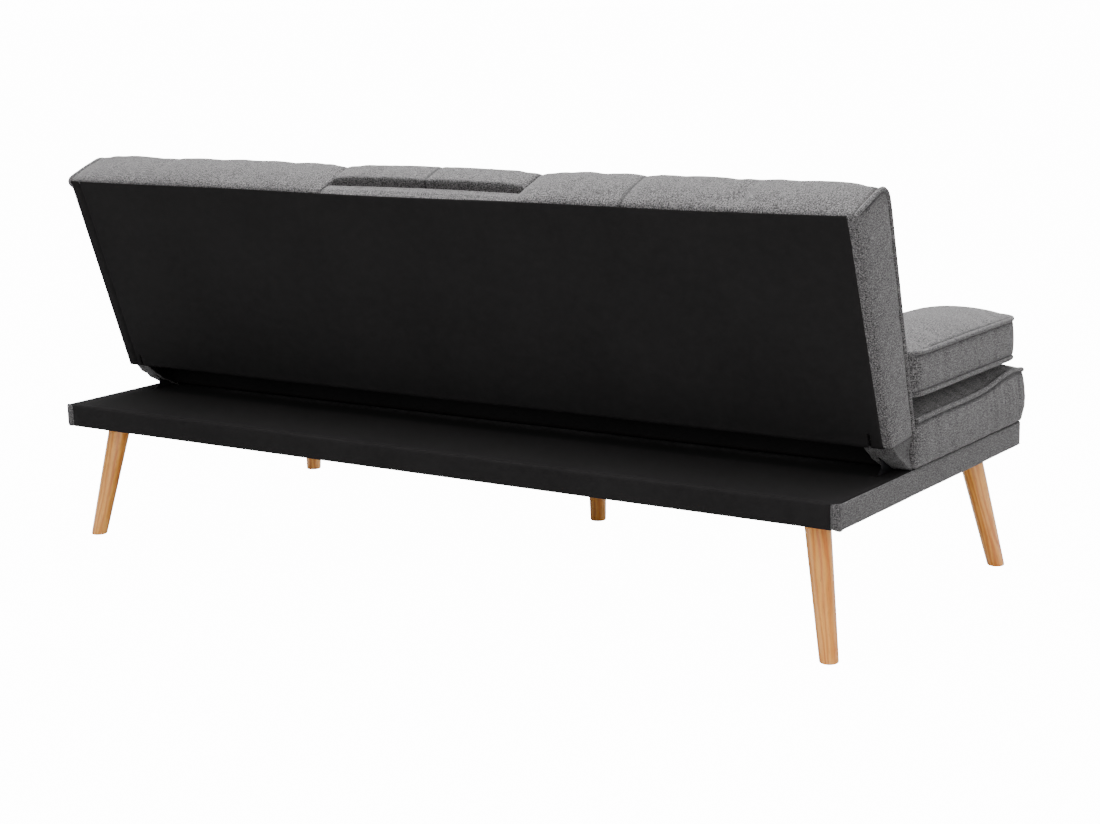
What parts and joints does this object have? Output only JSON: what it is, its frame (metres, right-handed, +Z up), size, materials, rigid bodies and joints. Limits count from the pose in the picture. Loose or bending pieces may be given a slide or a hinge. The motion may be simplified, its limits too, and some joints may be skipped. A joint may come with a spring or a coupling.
{
  "type": "click clack sofa bed",
  "caption": "Three-seat sofa bed with a back that reclines flat on ratchet hinges, a fold-down console with cup holders, loose arm cushions and splayed wooden legs.",
  "frame": {"origin": "middle of the overall footprint, on the floor", "axes": "+X along the sofa to the right seen from the front, +Y from the seat's front edge to the back, +Z up"},
  "size_m": [1.8, 0.776, 0.7914],
  "materials": {
    "linen": "matte",
    "black_cloth": "matte",
    "leg_wood": "satin",
    "frame_wood": "matte",
    "foam": "matte",
    "hinge_steel": "satin",
    "spring_steel": "satin",
    "cup_plastic": "satin"
  },
  "bodies": {
    "base": {"base_front_rail": "frame_wood", "base_middle_rail": "frame_wood", "base_rear_rail": "frame_wood", "base_cross_rail": "frame_wood", "base_end_rail_left": "frame_wood", "base_end_rail_right": "frame_wood", "corner_block_front_left": "frame_wood", "corner_block_front_right": "frame_wood", "corner_block_rear_left": "frame_wood", "corner_block_rear_right": "frame_wood", "base_apron": "linen", "deck_cloth": "black_cloth", "base_dust_cloth": "black_cloth", "leg_front_left": "leg_wood", "leg_front_right": "leg_wood", "leg_rear_left": "leg_wood", "leg_rear_right": "leg_wood", "leg_centre": "leg_wood", "seat_spring_1": "spring_steel", "seat_spring_2": "spring_steel", "seat_spring_3": "spring_steel", "seat_spring_4": "spring_steel", "seat_spring_5": "spring_steel", "seat_spring_6": "spring_steel", "seat_foam": "foam", "seat_cover": "linen", "hinge_seat_plate_left": "hinge_steel", "hinge_seat_plate_right": "hinge_steel", "hinge_gusset_left": "linen", "hinge_gusset_right": "linen"},
    "back": {"back_bottom_board": "frame_wood", "back_top_rail": "frame_wood", "back_end_board_left": "frame_wood", "back_end_board_right": "frame_wood", "back_post_left": "frame_wood", "back_post_right": "frame_wood", "back_foam_left": "foam", "back_foam_right": "foam", "back_foam_centre": "foam", "back_cover": "linen", "back_rear_panel": "black_cloth", "hinge_back_plate_left": "hinge_steel", "hinge_back_plate_right": "hinge_steel", "hinge_pin_left": "hinge_steel", "hinge_pin_right": "hinge_steel", "console_pin_left": "hinge_steel", "console_pin_right": "hinge_steel", "pawl_spring_left": "hinge_steel", "pawl_spring_right": "hinge_steel"},
    "console": {"console_cover": "linen", "console_frame": "frame_wood", "console_foam": "foam", "cup_holder_left": "cup_plastic", "cup_holder_right": "cup_plastic"},
    "pawl_left": {"hinge_pawl_left": "hinge_steel"},
    "pawl_right": {"hinge_pawl_right": "hinge_steel"},
    "arm_cushion_left": {"arm_cushion_cover_left": "linen", "arm_cushion_foam_left": "foam"},
    "arm_cushion_right": {"arm_cushion_cover_right": "linen", "arm_cushion_foam_right": "foam"}
  },
  "joints": [
    {"name": "back_fold", "type": "hinge", "parent": "base", "child": "back", "pos_m": [0, 0.1435, 0.356], "axis": [1, 0, 0], "range_deg": [-74, 0], "deforming": ["hinge_gusset_left", "hinge_gusset_right"]},
    {"name": "console_fold", "type": "hinge", "parent": "back", "child": "console", "pos_m": [0, 0.16114, 0.43713], "axis": [1, 0, 0], "range_deg": [0, 103.65]},
    {"name": "pawl_left_lift", "type": "hinge", "parent": "back", "child": "pawl_left", "pos_m": [-0.8589, 0.16344, 0.38835], "axis": [1, 0, 0], "range_deg": [0, 14], "stiffness_Nm_per_rad": 0.05, "springref_deg": -20.05, "deforming": ["pawl_spring_left"]},
    {"name": "pawl_right_lift", "type": "hinge", "parent": "back", "child": "pawl_right", "pos_m": [0.8589, 0.16344, 0.38835], "axis": [1, 0, 0], "range_deg": [0, 14], "stiffness_Nm_per_rad": 0.05, "springref_deg": -20.05, "deforming": ["pawl_spring_right"]},
    {"name": "arm_cushion_left_lift", "type": "slide", "parent": "base", "child": "arm_cushion_left", "axis": [0, 0, 1], "range_m": [0, 0.3]},
    {"name": "arm_cushion_right_lift", "type": "slide", "parent": "base", "child": "arm_cushion_right", "axis": [0, 0, 1], "range_m": [0, 0.3]}
  ],
  "couplings": [
    {"joint": "pawl_right_lift", "follows": "pawl_left_lift", "ratio": 1}
  ]
}
